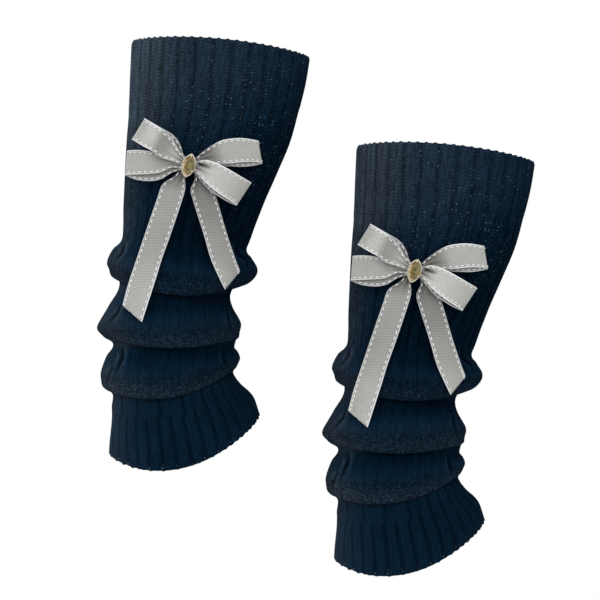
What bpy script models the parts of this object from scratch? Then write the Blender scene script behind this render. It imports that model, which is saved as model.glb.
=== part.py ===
"""Pair of knitted boot cuffs, slouched on the leg, each with a ribbon bow and a set stone.

Lengths below are in millimetres. The left cuff is drawn round its own grip: the middle of the calf,
halfway down the top rib, is the origin. +X is to the right as seen from the front, +Y is away from
the front, +Z is up. The right cuff is the same cuff again, moved by RIGHT_CUFF_AT.
"""

from collections import namedtuple
from math import cos, pi, radians, sin, sqrt

import bmesh
import bpy
import numpy as np

MM = 0.001

# Driving sizes of the knitting
WALL = 2.4  # thickness of the knitted wall between ribs
SEAM = 0.3  # gap between pieces that are knitted or sewn together
TOP_RIBS = 30
TOP_RIB_HEIGHTS = (1.2,)
LEG_RIBS = 30
LEG_RIB_HEIGHTS = (1.4, 0.9, 0.9)  # every third rib is a twisted cable
RIB_TURN = radians(2.0)  # a rib's crown lies this far to the right of the front
HEM_RIBS = 33
HEM_RIB_HEIGHTS = (1.0,)
RIGHT_CUFF_AT = (157.5, 0.0, -73.5)

# Driving sizes of the bow
RIBBON_THICK = 0.9
HUG_LEFT = 0.72  # how far the loops bend round the leg, 1 being all the way
HUG_RIGHT = 0.90
KNOT = (-20.4, -63.0)  # x and z of the bow's middle
STONE_LEAN = radians(16.5)  # the stone's top leans to the right
STONE_YAW = radians(-6.0)

# Driving sizes of the stone and its setting
SETTING_LONG = 17.6
SETTING_WIDE = 10.0
SETTING_DEEP = 2.9
SETTING_BASE = 0.80  # outline of the cup's foot as a share of its rim
CUP_WALL = 0.75
CUP_FLOOR = 1.2
SETTING_OFF = 8.15  # distance of the cup's foot from the leg
STONE_GAP = 0.3
STONE_RISE = 1.7  # height of the stone's flat top over the cup's rim
TABLE_SHARE = 0.52  # size of the stone's flat top
OUTLINE_STEPS = 8  # steps from tip to tip along one side

# The plain surface of the cuff, a row for each section from the rim to the hem: x at its two sides,
# its distance in front of and behind the leg's middle, its height at its left side, front, right side
# and back, and the number of steps down to the next row.
Section = namedtuple(
    "Section", "name left right front back z_left z_front z_right z_back steps"
)
SECTIONS = [
    Section("rim", -60.5, 62.5, 59.0, 59.0, 24.0, 26.0, 12.0, 17.0, 2),
    Section("rib_middle", -61.5, 60.5, 59.0, 58.0, -0.5, -0.5, -5.0, -1.5, 1),
    Section("rib_end", -62.5, 56.5, 56.5, 56.0, -23.0, -24.0, -21.5, -23.0, 1),
    Section("calf_low", -64.0, 49.5, 54.5, 54.0, -46.0, -46.0, -46.0, -46.0, 1),
    Section("shin_top", -65.5, 39.5, 51.5, 51.0, -68.5, -68.5, -68.5, -68.5, 1),
    Section("shin_low", -66.5, 30.0, 49.0, 47.5, -91.0, -91.0, -91.0, -91.0, 1),
    Section("neck", -67.0, 20.5, 48.5, 45.0, -111.5, -110.0, -117.5, -113.5, 1),
    Section("fold_1_shoulder", -75.0, 23.0, 52.5, 50.5, -121.0, -125.5, -126.5, -123.0, 1),
    Section("fold_1_crest", -79.0, 27.0, 54.5, 53.0, -131.5, -140.0, -136.0, -133.5, 2),
    Section("fold_1_lip", -73.5, 22.0, 50.5, 49.5, -139.5, -154.0, -143.5, -145.5, 2),
    Section("fold_1_tuck", -69.0, 9.0, 40.5, 40.5, -145.0, -149.0, -149.5, -148.5, 1),
    Section("fold_2_shoulder", -78.0, 9.0, 46.0, 45.5, -161.0, -161.0, -161.0, -161.0, 1),
    Section("fold_2_crest", -85.0, 15.5, 52.0, 51.0, -175.0, -178.0, -173.5, -176.5, 2),
    Section("fold_2_lip", -78.5, 13.5, 48.5, 47.0, -182.0, -191.0, -182.5, -187.0, 2),
    Section("fold_2_tuck", -74.0, 11.0, 39.0, 40.0, -187.5, -186.0, -187.0, -189.0, 1),
    Section("fold_3_shoulder", -78.0, 13.0, 45.0, 45.0, -196.5, -196.5, -192.0, -196.0, 1),
    Section("fold_3_crest", -83.0, 15.0, 50.0, 49.5, -208.5, -212.0, -197.5, -206.5, 2),
    Section("fold_3_lip", -77.5, 12.5, 47.0, 46.0, -217.0, -225.5, -202.5, -215.5, 2),
    Section("fold_3_tuck", -74.0, 9.0, 38.5, 39.0, -223.5, -220.5, -208.0, -218.5, 2),
    Section("hem_shoulder", -74.5, 15.0, 45.0, 43.5, -234.5, -237.5, -216.5, -229.0, 1),
    Section("hem_middle", -76.0, 23.0, 49.0, 47.5, -247.0, -254.0, -224.5, -241.5, 1),
    Section("hem_rim", -77.0, 28.5, 52.5, 50.5, -264.5, -272.5, -239.0, -255.0, 1),
]
RIB_END = 2  # row where the top rib ends
LEG_END = 18  # row of the hidden tuck where the hem's rib begins
HEM_END = 21

# The smooth skin over the leg's highest places, which the bow and its tails lie on
Skin = namedtuple("Skin", "z middle half front")
SKIN = [
    Skin(-40.0, -6.0, 58.5, 55.5),
    Skin(-68.5, -13.0, 52.8, 52.6),
    Skin(-91.0, -18.2, 50.5, 52.6),
    Skin(-140.0, -26.0, 53.3, 55.0),
    Skin(-178.0, -34.7, 50.5, 52.6),
]

# The four loops, a row for each station from the knot to the loop's end: x and z of the front layer's
# upper and lower edges, distance of the back layer off the skin, distance between the two layers, how
# far the back layer shows below (or above, if negative) and how far the edges curl forward.
Station = namedtuple("Station", "upper_x upper_z lower_x lower_z depth puff splay curl")
UPPER_LEFT = [
    Station(-24.1, -56.9, -25.3, -62.0, 6.1, 1.3, -0.8, 0.0),
    Station(-28.3, -51.1, -32.5, -59.8, 8.2, 3.0, -3.6, 1.4),
    Station(-32.5, -43.8, -40.2, -57.4, 10.0, 4.2, -2.3, 0.8),
    Station(-38.8, -38.1, -46.5, -52.8, 10.5, 4.2, -0.8, 0.3),
    Station(-45.1, -33.9, -52.8, -49.3, 9.8, 3.4, -0.3, 0.0),
    Station(-51.2, -30.0, -60.3, -44.8, 8.6, 2.4, 0.0, 0.0),
]
LOWER_LEFT = [
    Station(-24.8, -60.2, -26.0, -64.6, 3.5, 1.3, 1.0, 0.0),
    Station(-32.5, -57.4, -32.5, -64.4, 3.9, 1.8, 3.6, 0.5),
    Station(-40.9, -54.6, -40.2, -67.9, 4.4, 2.6, 4.6, 0.5),
    Station(-48.6, -52.8, -47.9, -68.9, 4.6, 3.4, 5.0, 0.2),
    Station(-56.3, -52.1, -57.0, -69.3, 4.4, 3.2, 3.6, 0.0),
    Station(-63.6, -52.4, -65.0, -69.6, 4.0, 2.4, 0.7, 0.0),
]
UPPER_RIGHT = [
    Station(-17.1, -58.8, -16.4, -62.9, 3.5, 1.3, 0.5, 0.0),
    Station(-10.8, -53.5, -8.8, -61.2, 3.9, 2.0, 0.7, 0.5),
    Station(-3.8, -48.6, -0.3, -61.9, 4.3, 3.0, 1.1, 0.5),
    Station(3.8, -45.1, 8.0, -61.6, 4.5, 3.8, 2.1, 0.2),
    Station(15.7, -43.8, 19.2, -60.5, 4.2, 3.6, 3.3, 0.0),
    Station(27.6, -45.4, 30.1, -60.9, 3.8, 2.4, 1.3, 0.0),
]
LOWER_RIGHT = [
    Station(-16.4, -60.2, -17.1, -65.8, 6.1, 1.3, 0.8, 0.0),
    Station(-9.4, -59.1, -12.9, -70.7, 7.6, 3.0, 1.6, 1.4),
    Station(-1.8, -60.9, -6.6, -77.0, 8.6, 4.0, 2.3, 0.6),
    Station(6.6, -65.1, -0.3, -81.9, 8.4, 4.0, 2.0, 0.2),
    Station(15.0, -70.0, 6.3, -86.4, 7.4, 3.3, 1.6, 0.0),
    Station(23.3, -74.9, 12.9, -90.6, 6.2, 2.4, 0.7, 0.0),
]

# The two tails, a row for each station from under the knot to the slanted cut end
Tail = namedtuple("Tail", "left_x left_z right_x right_z lift curl")
TAIL_LEFT = [
    Tail(-26.0, -63.0, -21.4, -63.7, 2.2, 0.0),
    Tail(-30.1, -70.0, -23.1, -70.7, 2.2, 0.3),
    Tail(-38.8, -75.9, -22.8, -77.7, 2.3, 0.8),
    Tail(-42.7, -86.1, -24.8, -86.1, 2.6, 0.5),
    Tail(-51.4, -111.3, -33.2, -111.3, 2.8, 0.0),
    Tail(-57.0, -128.1, -39.2, -128.1, 3.2, 0.0),
    Tail(-62.6, -144.9, -44.4, -144.9, 3.4, 0.0),
    Tail(-66.8, -160.3, -53.2, -172.2, 3.3, 0.0),
]
TAIL_RIGHT = [
    Tail(-18.5, -63.0, -13.9, -63.0, 2.2, 0.0),
    Tail(-16.1, -71.4, -8.4, -72.1, 2.2, 0.3),
    Tail(-19.2, -79.4, -3.8, -80.5, 2.3, 0.8),
    Tail(-17.8, -86.8, -1.0, -86.1, 2.5, 0.5),
    Tail(-10.1, -111.3, 6.3, -111.3, 2.7, 0.0),
    Tail(-5.2, -128.1, 11.9, -128.1, 3.0, 0.0),
    Tail(0.3, -140.7, 14.4, -134.6, 3.1, 0.0),
    Tail(4.6, -149.6, 14.9, -136.8, 3.1, 0.0),
]

COLOURS = {
    "navy_knit": (0.012, 0.022, 0.036, 1.0),
    "grey_ribbon": (0.40, 0.39, 0.36, 1.0),
    "gold_setting": (0.72, 0.55, 0.30, 1.0),
    "champagne_stone": (0.55, 0.40, 0.18, 1.0),
}


def clear_scene():
    for item in list(bpy.data.objects):
        bpy.data.objects.remove(item, do_unlink=True)


def make_materials():
    for name, colour in COLOURS.items():
        material = bpy.data.materials.new(name)
        material.use_nodes = True
        shader = material.node_tree.nodes["Principled BSDF"]
        shader.inputs["Base Color"].default_value = colour
        shader.inputs["Roughness"].default_value = 0.85 if "knit" in name else 0.45
        shader.inputs["Metallic"].default_value = 1.0 if "setting" in name else 0.0


def unit(vector):
    return vector / np.linalg.norm(vector)


def smooth_between(before, start, end, after, share):
    """A smooth curve through a column of numbers, at a share of the way from start to end."""
    a = 2 * start
    b = end - before
    c = 2 * before - 5 * start + 4 * end - after
    d = 3 * start - before - 3 * end + after
    return 0.5 * (a + b * share + c * share**2 + d * share**3)


def row_at(table, along):
    """The table's numbers at a place between its rows."""
    last = len(table) - 1
    i = min(int(along), last - 1)
    return smooth_between(
        table[max(i - 1, 0)], table[i], table[i + 1], table[min(i + 2, last)], along - i
    )


SECTION_NUMBERS = np.array([row[1:9] for row in SECTIONS])


def plain_point(along, angle):
    """A point of the smooth knitted surface. Angle 0 is the front and a quarter turn is the right."""
    left, right, front, back, z_left, z_front, z_right, z_back = row_at(
        SECTION_NUMBERS, along
    )
    sine, cosine = sin(angle), cos(angle)
    x = (left + right) / 2 + (right - left) / 2 * sine
    y = -(front if cosine > 0 else back) * cosine
    z = (z_left + z_right + z_front + z_back) / 4
    z += (z_right - z_left) / 2 * sine + (z_front - z_back) / 2 * cosine
    z += (z_front + z_back - z_left - z_right) / 4 * cos(2 * angle)
    return np.array((x, y, z))


def directions(along, angle):
    """The way down the surface and the way out of it."""
    step = 0.01
    top = max(along - step, 0.0)
    low = min(along + step, HEM_END)
    down = unit(plain_point(low, angle) - plain_point(top, angle))
    turn = unit(plain_point(along, angle + step) - plain_point(along, angle - step))
    return down, unit(np.cross(down, turn))


def ring_places(first, last):
    """The places between two rows where the wall has a ring of points."""
    places = []
    for row in range(first, last):
        steps = SECTIONS[row].steps
        places += [row + step / steps for step in range(steps)]
    return places + [last]


def knit_slice(places, angle, relief, seam):
    """One closed cut through the wall at an angle: down its outside and up its inside.

    The ribs fade out in the tuck where the leg meets the hem's rib.
    """
    outside, inside = [], []
    for place in places:
        point = plain_point(place, angle)
        down, out = directions(place, angle)
        if seam and place == places[0]:
            point = point + down * SEAM
        outside.append(point + out * relief * min(1.0, abs(place - LEG_END)))
        inside.append(point - out * WALL)
    return outside + inside[::-1]


def knit_tube(name, first, last, ribs, heights, turn, seam):
    """A knitted tube with ribs raised on its outside over a plain inside."""
    places = ring_places(first, last)
    slices = []
    for rib in range(ribs):
        crown = 2 * pi * rib / ribs + turn
        slices.append(knit_slice(places, crown, heights[rib % len(heights)], seam))
        slices.append(knit_slice(places, crown + pi / ribs, 0.0, seam))
    return solid(name, slices, True, "navy_knit")


def skin_y(x, z, hug=1.0):
    """The front of the leg's skin. A smaller hug gives a flatter one for what stands off it."""
    heights = [row.z for row in SKIN][::-1]
    middle, half, front = (
        np.interp(z, heights, [getattr(row, key) for row in SKIN][::-1])
        for key in ("middle", "half", "front")
    )
    return -front * sqrt(max(1 - (hug * (x - middle) / half) ** 2, 0.0))


def bow_point(x, z, off):
    """A point of the bow, which bends round the leg less than its skin does."""
    middle = np.interp(z, [row.z for row in SKIN][::-1], [row.middle for row in SKIN][::-1])
    hug = HUG_LEFT if x < middle else HUG_RIGHT
    return np.array((x, skin_y(x, z, hug) - off, z))


def loop_rows(stations, front):
    """Rows of three points across one layer of a loop, from the knot to its end."""
    rows = []
    for s in stations:
        upper = np.array((s.upper_x, s.upper_z))
        lower = np.array((s.lower_x, s.lower_z))
        off, curl = s.depth, s.curl / 2
        if front:
            off, curl = s.depth + s.puff, s.curl
        else:
            shift = unit(lower - upper) * s.splay
            upper, lower = upper + shift, lower + shift
        middle = (upper + lower) / 2
        rows.append(
            [
                bow_point(*upper, off + curl),
                bow_point(*middle, off),
                bow_point(*lower, off + curl),
            ]
        )
    return rows


def turn_row(front, back):
    """The row where the ribbon turns back on itself at a loop's end."""
    outward = unit(front[-1][1] - front[-2][1])
    return [
        (a + b) / 2 + outward * np.linalg.norm(a - b) / 2
        for a, b in zip(front[-1], back[-1])
    ]


def ribbon_band(name, left, right):
    """A closed band of ribbon: two loops with a front layer and a back layer."""
    left_front, left_back = loop_rows(left, True), loop_rows(left, False)
    right_front, right_back = loop_rows(right, True), loop_rows(right, False)
    rows = left_front[::-1] + right_front
    rows += [turn_row(right_front, right_back)] + right_back[::-1]
    rows += left_back + [turn_row(left_front, left_back)]
    return solid(name, thicken(rows, True), True, "grey_ribbon")


def tail_rows(stations):
    rows = []
    for s in stations:
        left = np.array((s.left_x, s.left_z))
        right = np.array((s.right_x, s.right_z))
        middle = (left + right) / 2
        spots = ((left, s.lift + s.curl), (middle, s.lift), (right, s.lift + s.curl))
        rows.append(
            [np.array((p[0], skin_y(*p) - off, p[1])) for p, off in spots]
        )
    return rows


def ribbon_tail(name, stations):
    return solid(name, thicken(tail_rows(stations), False), False, "grey_ribbon")


def thicken(rows, closed):
    """Closed cuts through a ribbon from rows of points on its middle."""
    count = len(rows)
    cuts = []
    for i, row in enumerate(rows):
        before = rows[(i - 1) % count] if closed else rows[max(i - 1, 0)]
        after = rows[(i + 1) % count] if closed else rows[min(i + 1, count - 1)]
        across = unit(row[-1] - row[0])
        top, bottom = [], []
        for j, point in enumerate(row):
            out = unit(np.cross(across, unit(after[j] - before[j])))
            top.append(point + out * RIBBON_THICK / 2)
            bottom.append(point - out * RIBBON_THICK / 2)
        cuts.append(top + bottom[::-1])
    return cuts


def marquise(share, off, inset=0.0):
    """The pointed outline of the stone or its cup, at a distance off the leg."""
    points = []
    for side in (1, -1):
        for step in range(OUTLINE_STEPS):
            s = side * (1 - 2 * step / OUTLINE_STEPS)
            across = side * (SETTING_WIDE / 2 * share - inset) * (1 - s * s)
            along = s * (SETTING_LONG / 2 * share - inset * SETTING_LONG / SETTING_WIDE)
            points.append(set_point(across, along, off))
    return points


def set_point(across, along, off):
    """A point of the setting: across and along its outline, and off the leg."""
    x = across * cos(STONE_LEAN) + along * sin(STONE_LEAN)
    z = along * cos(STONE_LEAN) - across * sin(STONE_LEAN)
    y = -off
    turned = (x * cos(STONE_YAW) - y * sin(STONE_YAW), x * sin(STONE_YAW) + y * cos(STONE_YAW))
    return np.array((KNOT[0] + turned[0], skin_y(*KNOT, HUG_LEFT) + turned[1], KNOT[1] + z))


def setting_cup(name):
    rim = SETTING_OFF + SETTING_DEEP
    levels = [
        marquise(SETTING_BASE, SETTING_OFF),
        marquise(1.0, rim),
        marquise(1.0, rim, CUP_WALL),
        marquise(SETTING_BASE, SETTING_OFF + CUP_FLOOR, CUP_WALL),
    ]
    return solid(name, levels, False, "gold_setting")


def stone(name):
    rim = SETTING_OFF + SETTING_DEEP
    inset = CUP_WALL + STONE_GAP
    levels = [
        marquise(SETTING_BASE, SETTING_OFF + CUP_FLOOR + STONE_GAP, inset),
        marquise(1.0, rim, inset),
        marquise(TABLE_SHARE, rim + STONE_RISE),
    ]
    return solid(name, levels, False, "champagne_stone")


def solid(name, loops, closed, material):
    """A closed solid through a row of closed loops of points, joined end to end or capped."""
    shape = bmesh.new()
    rings = [[shape.verts.new(point * MM) for point in loop] for loop in loops]
    count = len(rings)
    for i in range(count if closed else count - 1):
        near, far = rings[i], rings[(i + 1) % count]
        for j in range(len(near)):
            k = (j + 1) % len(near)
            shape.faces.new((near[j], near[k], far[k], far[j]))
    if not closed:
        shape.faces.new(rings[0][::-1])
        shape.faces.new(rings[-1])
    bmesh.ops.recalc_face_normals(shape, faces=shape.faces[:])
    bmesh.ops.triangulate(shape, faces=shape.faces[:])
    mesh = bpy.data.meshes.new(name)
    shape.to_mesh(mesh)
    shape.free()
    mesh.materials.append(bpy.data.materials[material])
    item = bpy.data.objects.new(name, mesh)
    bpy.context.scene.collection.objects.link(item)
    return item


def build_cuff(side, place):
    leg = knit_tube(
        f"{side}_cabled_leg", RIB_END, LEG_END, LEG_RIBS, LEG_RIB_HEIGHTS, RIB_TURN, True
    )
    top = knit_tube(
        f"{side}_top_rib", 0, RIB_END, TOP_RIBS, TOP_RIB_HEIGHTS, RIB_TURN, False
    )
    hem = knit_tube(
        f"{side}_hem_rib", LEG_END, HEM_END, HEM_RIBS, HEM_RIB_HEIGHTS, 0.0, True
    )
    others = [
        top,
        hem,
        ribbon_band(f"{side}_rising_loops", LOWER_LEFT, UPPER_RIGHT),
        ribbon_band(f"{side}_falling_loops", UPPER_LEFT, LOWER_RIGHT),
        ribbon_tail(f"{side}_tail_left", TAIL_LEFT),
        ribbon_tail(f"{side}_tail_right", TAIL_RIGHT),
        setting_cup(f"{side}_setting"),
        stone(f"{side}_stone"),
    ]
    for item in [leg] + others:
        for vertex in item.data.vertices:
            vertex.co = [value + shift * MM for value, shift in zip(vertex.co, place)]
        if item is not leg:
            item.parent = leg


def main():
    clear_scene()
    make_materials()
    build_cuff("left", (0.0, 0.0, 0.0))
    build_cuff("right", RIGHT_CUFF_AT)


main()
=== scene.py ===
"""Pair of knitted boot cuffs: slouched knitted tubes, stitched ribbon bows and set stones.

Lengths are in millimetres unless a comment says otherwise. Everything is drawn for the left cuff.
The right cuff is a copy of it, moved by RIGHT_CUFF_AT. A place along a tube is a row of SECTIONS,
counted from 0 at the rim, with shares of a row between them.
"""

from itertools import product
from math import cos, pi, radians, sin

import bmesh
import bpy
import numpy as np
from mathutils import Matrix, Vector


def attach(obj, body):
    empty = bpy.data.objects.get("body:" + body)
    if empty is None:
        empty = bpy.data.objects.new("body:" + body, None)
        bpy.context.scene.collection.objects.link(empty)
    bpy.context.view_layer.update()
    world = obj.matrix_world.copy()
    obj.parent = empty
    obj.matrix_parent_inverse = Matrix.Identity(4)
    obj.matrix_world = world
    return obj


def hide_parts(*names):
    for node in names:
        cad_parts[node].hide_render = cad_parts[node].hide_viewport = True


MM = 0.001
RIGHT_CUFF_AT = (157.5, 0.0, -73.5)

# Knitting
WALL = 2.4
RIBS = 30
HEM_RIBS = 33
RIB_TURN = radians(2.0)  # a rib's crown lies this far to the right of the front
COURSE = 2.1  # height of one row of stitches
SUNK = 0.8  # how far the knitting lies inside its drawn surface between ribs
AROUND_RIB = 10  # columns of faces in one rib
TOP_ROWS, LEG_ROWS, HEM_ROWS = 0.8, 1.35, 1.0  # how far apart the rows of faces lie outside
INNER_COARSER = 1.7  # how much further apart they lie on the inner wall
LIP_ROUNDED = 0.34  # rows this close to a fold's lip are left out of the inner wall
TUCK_ROWS = (-0.16, -0.08, -0.03, 0.03, 0.08, 0.16)  # more rows of faces close to each tuck
TOP_RIB_HIGH = 1.25
LEG_RIB_HIGH = 0.95
CABLE_HIGH = 1.5
CABLE_TWIST = 15.0  # length of one twist of a cable
HEM_RIB_HIGH = 1.15
HEM_GROOVE_DEEP = 1.4
CREASE_DEEP = 5.0
CREASE_WIDTH = 1.8
BACK_FAINTER = 0.4  # depth of the creases behind, as a share of those in front
CREASE_SWELL = 1.9  # how far the knitting stands out beside a crease

# Bow and stone
RIBBON_THICK = 0.55
SELVEDGE_THICK = 0.85
SELVEDGE_FROM = 0.86  # where the thicker woven edge begins, as a share across from the middle
LOOP_SHORTER = 1.3  # how far a loop's end is drawn in
LOOP_BULGE = 0.42  # how far its turn stands out, as a share of its depth
HUG_LEFT = 0.72  # how far the loops bend round the leg, 1 being all the way
HUG_RIGHT = 0.90
KNOT = (-19.5, -63.0)  # x and z of the bow's middle
PLEAT_DEEP = 1.5
PLEAT_REACH = 12.5  # how far the pleats run from the knot
PLEAT_SHADE_REACH = 13.0
FRAY = 0.35  # how far the frayed end of the left tail waves
DASH_PITCH = 4.3  # from one dash of thread to the next
DASH_LONG = 2.8
DASH_HALF_WIDE = 0.44
DASH_HALF_HIGH = 0.34
DASH_OFF = 0.10  # how far its middle lies off the ribbon's face
SEAM_AT = 0.80  # where the dashes lie, as a share across from the middle
STONE_LEAN = radians(16.5)
STONE_YAW = radians(-6.0)
STONE_X = -1.2  # how far the stone's middle shows to the right of the knot
STONE_RISE = 1.7
STONE_EDGE = 0.05  # how far its edges are blunted
TABLE_SHARE = 0.58
TABLE_ASIDE = 0.75  # how far the stone's table lies to the right of its middle
SETTING_LONG = 17.6
SETTING_WIDE = 9.6
SETTING_DEEP = 2.9
SETTING_BASE = 0.80  # the cup's base as a share of its rim
SETTING_OFF = 8.15  # how far the cup's base lies off the leg
RIM_OFF = SETTING_OFF + SETTING_DEEP
CLAW_THICK = 0.52
CLAW_RISE = 0.75
CLAW_FROM, CLAW_TO = 0.15, 1.75  # how far inside the rim a claw starts and ends
CLAWS = (0.0, 0.14, 0.36, 0.5, 0.64, 0.86)  # where they stand, a full turn being 1

# The plain surface of the cuff, from the rim to the hem: x at its two sides, its distance in
# front of and behind the leg's middle, and its height at its left side, front, right side and back
SECTIONS = np.array((
    (-60.5, 63.7, 59.0, 59.0, 24.0, 25.5, 12.6, 17.0),
    (-61.6, 60.8, 59.0, 58.0, -0.5, -0.5, -5.0, -1.5),
    (-62.5, 56.8, 56.5, 56.0, -23.0, -24.0, -21.5, -23.0),
    (-64.3, 50.2, 54.5, 54.0, -46.0, -46.0, -46.0, -46.0),
    (-65.5, 40.8, 51.5, 51.0, -68.5, -68.5, -68.5, -68.5),
    (-66.5, 31.0, 49.0, 47.5, -91.0, -91.0, -91.0, -91.0),
    (-67.4, 21.6, 48.5, 45.0, -111.5, -110.0, -117.5, -113.5),
    (-74.2, 24.2, 52.5, 50.5, -121.0, -125.5, -126.5, -123.0),
    (-79.3, 27.5, 54.5, 53.0, -131.5, -140.0, -136.0, -133.5),
    (-75.4, 22.5, 50.5, 49.5, -139.5, -153.5, -143.5, -145.5),
    (-70.4, 11.2, 44.5, 44.0, -145.0, -149.0, -149.5, -148.5),
    (-77.8, 10.6, 48.0, 47.0, -161.0, -161.0, -161.0, -161.0),
    (-85.7, 16.4, 52.0, 51.0, -175.0, -178.0, -173.5, -176.5),
    (-80.6, 14.5, 48.5, 47.0, -182.0, -190.5, -182.5, -187.0),
    (-75.0, 12.8, 43.5, 43.5, -187.5, -186.0, -187.0, -189.0),
    (-79.0, 14.2, 47.0, 46.5, -196.5, -196.5, -192.0, -196.0),
    (-83.8, 15.3, 50.0, 49.5, -208.5, -212.0, -197.5, -206.5),
    (-81.2, 13.2, 47.0, 46.0, -217.0, -225.0, -202.5, -215.5),
    (-74.8, 11.2, 42.5, 42.5, -223.5, -220.5, -208.0, -218.5),
    (-75.5, 16.2, 45.5, 44.0, -234.5, -237.5, -216.5, -229.0),
    (-76.5, 24.2, 49.0, 47.5, -247.0, -254.0, -224.5, -241.5),
    (-76.3, 30.0, 52.5, 50.5, -263.5, -273.5, -236.0, -254.0),
))
RIB_END = 2
NECK = 6  # where the folds begin
CRESTS = (8, 12, 16)  # where each fold is widest
LIPS = (9, 13, 17)  # its lowest edge
TUCKS = (10, 14, 18)  # where the knitting comes out again under it
LEG_END = 18
JOG = 19  # where some of the hem's grooves step aside
HEM_END = 21

# Creases beside the folds, as x and z of the points that each runs through. The first list lies
# on the front and the second on the back.
FRONT_CREASES = (
    ((-67.2, -115.5), (-67.6, -121.8), (-71.1, -126.0), (-76.7, -130.9)),
    ((-69.3, -158.2), (-70.0, -165.2), (-74.6, -170.1), (-82.3, -177.1)),
    ((-69.0, -188.3), (-67.6, -196.0), (-70.0, -203.0), (-72.8, -207.2)),
    ((-73.9, -203.0), (-77.4, -210.0), (-78.8, -215.6)),
    ((14.7, -117.3), (13.9, -123.5), (20.0, -129.0), (21.6, -136.6)),
    ((5.2, -159.5), (7.0, -166.0), (9.3, -174.3), (12.0, -182.5)),
    ((4.0, -191.8), (5.0, -198.8), (9.5, -202.5)),
)
BACK_CREASES = (
    ((-64.0, -115.0), (-63.6, -122.5), (-68.0, -127.0), (-74.4, -131.0)),
    ((-66.0, -157.5), (-67.0, -166.0), (-72.0, -171.5), (-79.2, -178.0)),
    ((-66.4, -189.3), (-65.2, -197.0), (-68.9, -204.5), (-74.0, -209.0)),
    ((12.7, -117.3), (11.9, -124.5), (17.0, -130.0), (20.6, -137.0)),
    ((3.2, -160.7), (5.5, -168.5), (8.2, -180.0)),
    ((2.0, -191.0), (3.5, -197.8), (8.5, -202.0)),
    ((-38.0, -163.5), (-34.5, -171.5), (-36.0, -180.0)),
)

# The surface that the bow lies on: height, the leg's middle, half its width, and how far its
# front lies forward
SKIN = np.array((
    (-178.0, -34.7, 50.5, 52.6),
    (-140.0, -26.0, 53.3, 55.0),
    (-91.0, -18.2, 50.5, 52.6),
    (-68.5, -13.0, 52.8, 52.6),
    (-40.0, -6.0, 58.5, 55.5),
))

# The loops from the knot to their ends: x and z of the front layer's upper and lower edges, how
# far the back layer lies off the leg and behind the front one, how far it shows below that, and
# how far the edges curl forward
UPPER_LEFT = (
    (-24.1, -56.9, -25.3, -62.0, 6.1, 1.3, -0.8, 0.0),
    (-28.3, -51.1, -32.5, -59.8, 8.2, 3.0, -3.6, 1.4),
    (-32.5, -43.8, -40.2, -57.4, 10.0, 4.2, -2.3, 0.8),
    (-38.8, -38.1, -46.5, -52.8, 10.5, 4.2, -0.8, 0.3),
    (-45.1, -33.9, -52.8, -49.3, 9.8, 3.4, -0.3, 0.0),
    (-51.2, -30.0, -60.3, -44.8, 8.6, 2.4, 0.0, 0.0),
)
LOWER_LEFT = (
    (-24.8, -60.2, -26.0, -64.6, 3.5, 1.3, 1.0, 0.0),
    (-32.5, -57.4, -32.5, -64.4, 3.9, 1.8, 3.6, 0.5),
    (-40.9, -54.6, -40.2, -67.9, 4.4, 2.6, 4.6, 0.5),
    (-48.6, -52.8, -47.9, -68.9, 4.6, 3.4, 5.0, 0.2),
    (-56.3, -52.1, -57.0, -69.3, 4.4, 3.2, 3.6, 0.0),
    (-63.6, -52.4, -65.0, -69.6, 4.0, 2.4, 0.7, 0.0),
)
UPPER_RIGHT = (
    (-17.1, -58.8, -16.4, -62.9, 3.5, 1.3, 0.5, 0.0),
    (-10.8, -53.5, -8.8, -61.2, 3.9, 2.0, 0.7, 0.5),
    (-3.8, -48.6, -0.3, -61.9, 4.3, 3.0, 1.1, 0.5),
    (3.8, -45.1, 8.0, -61.6, 4.5, 3.8, 2.1, 0.2),
    (15.7, -43.8, 19.2, -60.5, 4.2, 3.6, 3.3, 0.0),
    (27.6, -45.4, 30.1, -60.9, 3.8, 2.4, 1.3, 0.0),
)
LOWER_RIGHT = (
    (-16.4, -60.2, -17.1, -65.8, 6.1, 1.3, 0.8, 0.0),
    (-9.4, -59.1, -12.9, -70.7, 7.6, 3.0, 1.6, 1.4),
    (-1.8, -60.9, -6.6, -77.0, 8.6, 4.0, 2.3, 0.6),
    (6.6, -65.1, -0.3, -81.9, 8.4, 4.0, 2.0, 0.2),
    (15.0, -70.0, 6.3, -86.4, 7.4, 3.3, 1.6, 0.0),
    (23.3, -74.9, 12.9, -90.6, 6.2, 2.4, 0.7, 0.0),
)
# The deepest crease close to the stone, painted as a dark line of shade: x and z where it starts
# and ends
BOW_CREASE = ((-14.6, -61.9), (-6.2, -64.5))
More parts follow.
